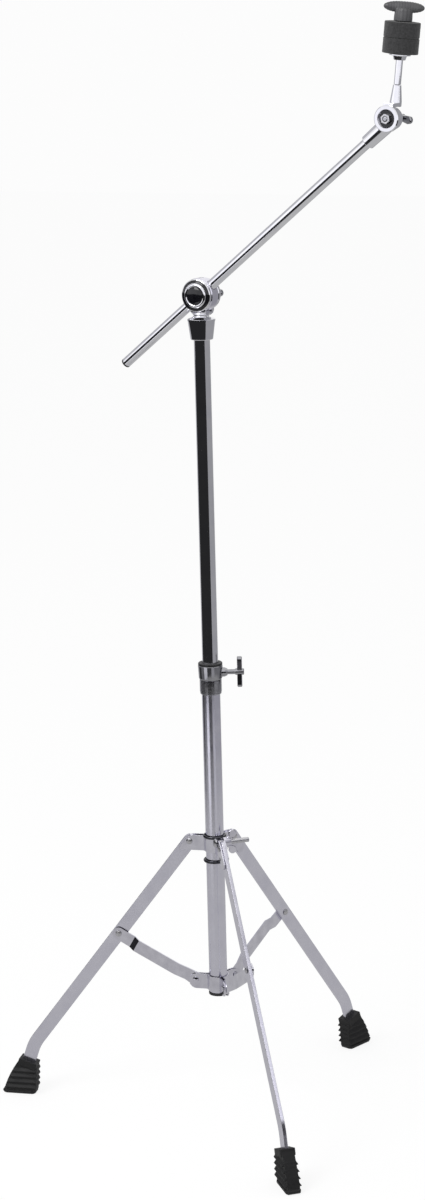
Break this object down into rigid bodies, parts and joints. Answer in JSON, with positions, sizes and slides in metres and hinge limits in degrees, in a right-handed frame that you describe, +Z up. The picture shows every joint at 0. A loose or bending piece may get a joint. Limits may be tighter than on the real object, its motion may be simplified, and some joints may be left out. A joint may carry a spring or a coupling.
{
  "type": "boom cymbal stand",
  "caption": "Folding tripod cymbal stand with a telescoping mast, a ratchet-tilted boom and a tilting cymbal rod with felts and a wing nut.",
  "frame": {"origin": "middle of the bounding box in plan, at the floor", "axes": "+Z up along the mast; +X towards the cymbal end of the boom"},
  "size_m": [0.5602, 0.4728, 1.3353],
  "materials": {
    "chrome": "mirror chrome plate",
    "satin_chrome": "satin chrome plate on steel",
    "zinc": "zinc plate",
    "nylon": "black nylon",
    "plastic": "dark grey moulded plastic",
    "rubber": "black moulded rubber",
    "felt": "dark grey pressed felt"
  },
  "bodies": {
    "base": {"lower_tube": "satin_chrome", "lower_tube_plug": "nylon", "height_collar": "chrome", "collar_bushing": "nylon", "lower_bracket_plate_1": "satin_chrome", "lower_bracket_plate_2": "satin_chrome", "lower_bracket_plate_3": "satin_chrome", "stay_pivot_rivet_front": "zinc", "stay_pivot_rivet_right": "zinc", "stay_pivot_rivet_left": "zinc"},
    "carriage": {"upper_bracket_plate_1": "satin_chrome", "upper_bracket_plate_2": "satin_chrome", "upper_bracket_plate_3": "satin_chrome", "leg_pivot_rivet_front": "zinc", "leg_pivot_rivet_right": "zinc", "leg_pivot_rivet_left": "zinc", "bracket_clamp_bolt": "zinc"},
    "bracket_nut": {"bracket_wing_nut": "satin_chrome"},
    "height_bolt": {"height_wing_bolt": "chrome"},
    "mast_slide": {"upper_tube_bush": "nylon"},
    "mast": {"upper_tube": "chrome", "tilter_base": "chrome"},
    "boom_clamp": {"boom_clamp_body": "satin_chrome", "boom_clamp_cap": "chrome"},
    "tilter_bolt": {"tilter_wing_bolt": "chrome"},
    "boom_slide": {"boom_tail_plug": "nylon"},
    "boom": {"boom_tube": "chrome", "boom_end_socket": "chrome"},
    "rod_tilter": {"rod_tilter_arm": "chrome", "end_tilter_nut": "zinc", "cymbal_rod": "chrome", "cup_washer": "chrome", "rod_sleeve": "nylon"},
    "end_tilter_bolt": {"end_wing_bolt": "chrome"},
    "lower_felt_turn": {"lower_felt": "felt"},
    "upper_felt_turn": {"upper_felt": "felt"},
    "top_nut": {"top_wing_nut": "plastic"},
    "leg_front_body": {"leg_front": "satin_chrome", "foot_front": "rubber", "rivet_tail_front": "zinc"},
    "stay_front_body": {"stay_front": "satin_chrome", "rivet_head_front": "zinc"},
    "leg_right_body": {"leg_right": "satin_chrome", "foot_right": "rubber", "rivet_tail_right": "zinc"},
    "stay_right_body": {"stay_right": "satin_chrome", "rivet_head_right": "zinc"},
    "leg_left_body": {"leg_left": "satin_chrome", "foot_left": "rubber", "rivet_tail_left": "zinc"},
    "stay_left_body": {"stay_left": "satin_chrome", "rivet_head_left": "zinc"}
  },
  "joints": [
    {"name": "bracket_slide", "type": "slide", "parent": "base", "child": "carriage", "axis": [0, 0, 1], "range_m": [0, 0.0857]},
    {"name": "bracket_nut_turn", "type": "hinge", "parent": "carriage", "child": "bracket_nut", "pos_m": [0.00863, -0.05076, 0.346], "axis": [0.6743, 0.7385, 0], "continuous": true},
    {"name": "leg_front_fold", "type": "hinge", "parent": "carriage", "child": "leg_front_body", "pos_m": [0.01386, -0.06149, 0.342], "axis": [0.6743, 0.7385, 0], "range_deg": [0, 33.11]},
    {"name": "stay_front_fold", "type": "hinge", "parent": "base", "child": "stay_front_body", "pos_m": [0.01165, -0.05947, 0.1635], "axis": [0.6743, 0.7385, 0], "range_deg": [-53, 0]},
    {"name": "leg_right_fold", "type": "hinge", "parent": "carriage", "child": "leg_right_body", "pos_m": [-0.00237, -0.01031, 0.342], "axis": [-0.9767, 0.2147, 0], "range_deg": [0, 33.11]},
    {"name": "stay_right_fold", "type": "hinge", "parent": "base", "child": "stay_right_body", "pos_m": [-0.00302, -0.01324, 0.1635], "axis": [-0.9767, 0.2147, 0], "range_deg": [-53, 0]},
    {"name": "leg_left_fold", "type": "hinge", "parent": "carriage", "child": "leg_left_body", "pos_m": [-0.03858, -0.04996, 0.342], "axis": [0.3024, -0.9532, 0], "range_deg": [0, 33.11]},
    {"name": "stay_left_fold", "type": "hinge", "parent": "base", "child": "stay_left_body", "pos_m": [-0.03572, -0.04906, 0.1635], "axis": [0.3024, -0.9532, 0], "range_deg": [-53, 0]},
    {"name": "height_bolt_turn", "type": "hinge", "parent": "base", "child": "height_bolt", "pos_m": [0.00864, -0.03039, 0.5541], "axis": [0.866, 0.5, 0], "continuous": true},
    {"name": "mast_height", "type": "slide", "parent": "base", "child": "mast_slide", "axis": [0, 0, 1], "range_m": [-0.265, 0.065]},
    {"name": "mast_swivel", "type": "hinge", "parent": "mast_slide", "child": "mast", "pos_m": [-0.00903, -0.04059, 0.438], "axis": [0, 0, 1], "continuous": true},
    {"name": "boom_tilt", "type": "hinge", "parent": "mast", "child": "boom_clamp", "pos_m": [-0.00903, -0.04059, 1.007], "axis": [0, -1, 0], "range_deg": [-83.5, 6.5]},
    {"name": "tilter_bolt_turn", "type": "hinge", "parent": "boom_clamp", "child": "tilter_bolt", "pos_m": [-0.00903, -0.02199, 1.007], "axis": [0, 1, 0], "continuous": true},
    {"name": "boom_reach", "type": "slide", "parent": "boom_clamp", "child": "boom_slide", "axis": [0.7826, 0, 0.6225], "range_m": [-0.24, 0.09]},
    {"name": "boom_roll", "type": "hinge", "parent": "boom_slide", "child": "boom", "pos_m": [-0.11429, -0.04059, 0.92327], "axis": [0.7826, 0, 0.6225], "continuous": true},
    {"name": "rod_tilt", "type": "hinge", "parent": "boom", "child": "rod_tilter", "pos_m": [0.24532, -0.04059, 1.20932], "axis": [0, 1, 0], "range_deg": [-65, 90]},
    {"name": "end_bolt_turn", "type": "hinge", "parent": "rod_tilter", "child": "end_tilter_bolt", "pos_m": [0.24532, -0.03139, 1.20932], "axis": [0, 1, 0], "continuous": true},
    {"name": "lower_felt_spin", "type": "hinge", "parent": "rod_tilter", "child": "lower_felt_turn", "pos_m": [0.25313, -0.04059, 1.27898], "axis": [0.1115, 0, 0.9938], "continuous": true},
    {"name": "upper_felt_spin", "type": "hinge", "parent": "rod_tilter", "child": "upper_felt_turn", "pos_m": [0.25506, -0.04059, 1.29617], "axis": [0.1115, 0, 0.9938], "continuous": true},
    {"name": "top_nut_turn", "type": "hinge", "parent": "rod_tilter", "child": "top_nut", "pos_m": [0.25699, -0.04059, 1.31336], "axis": [0.1115, 0, 0.9938], "continuous": true}
  ],
  "couplings": [
    {"joint": "leg_front_fold", "follows": "bracket_slide", "rad_per_m": 6.741},
    {"joint": "stay_front_fold", "follows": "bracket_slide", "rad_per_m": -10.791},
    {"joint": "leg_right_fold", "follows": "bracket_slide", "rad_per_m": 6.741},
    {"joint": "stay_right_fold", "follows": "bracket_slide", "rad_per_m": -10.791},
    {"joint": "leg_left_fold", "follows": "bracket_slide", "rad_per_m": 6.741},
    {"joint": "stay_left_fold", "follows": "bracket_slide", "rad_per_m": -10.791}
  ]
}
